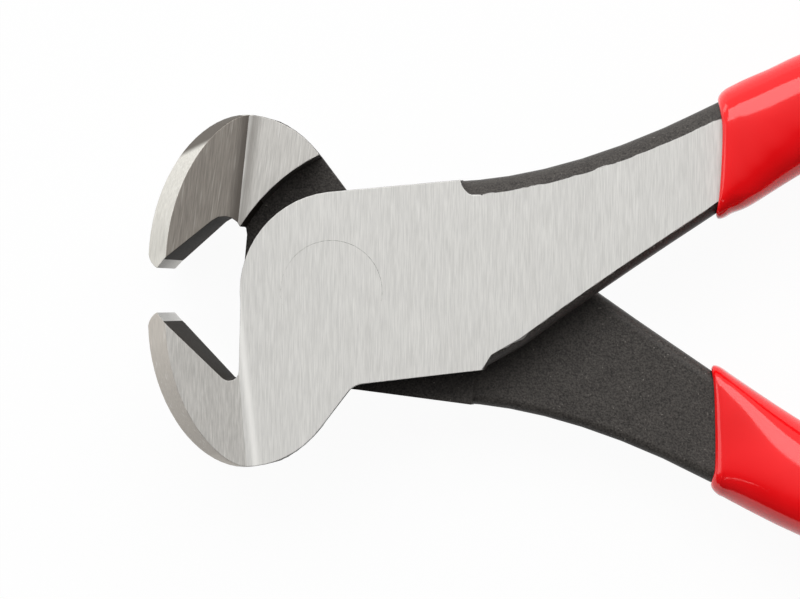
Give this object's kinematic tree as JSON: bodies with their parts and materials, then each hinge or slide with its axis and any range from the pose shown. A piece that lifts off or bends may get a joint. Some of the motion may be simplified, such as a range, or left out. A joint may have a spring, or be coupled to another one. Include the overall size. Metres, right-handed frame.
{
  "type": "end cutting nippers",
  "caption": "End cutting nippers: crossed forged steel levers lapped on a flush rivet, broad cutting jaws across the nose and dipped red grips on the handles.",
  "frame": {"origin": "on the pivot axis, at the ground back face of the lap joint", "axes": "+X from the pivot towards the handles, +Y across the tool, +Z along the pivot axis from the back face to the front face"},
  "size_m": [0.1967, 0.0826, 0.0204],
  "materials": {
    "forged_steel": "ground bright on the faces and jaws, black oxide on the forged flanks and in the recess",
    "rivet_steel": "ground flush with the joint faces",
    "red_vinyl": "glossy dipped coat"
  },
  "bodies": {
    "rear_half": {"rear_lever": "forged_steel", "pivot_rivet": "rivet_steel", "rear_grip": "red_vinyl"},
    "front_half": {"front_lever": "forged_steel", "front_grip": "red_vinyl"}
  },
  "joints": [
    {"name": "jaw_pivot", "type": "hinge", "parent": "rear_half", "child": "front_half", "pos_m": [0, 0, 0.006], "axis": [0, 0, 1], "range_deg": [-14, 26]}
  ]
}
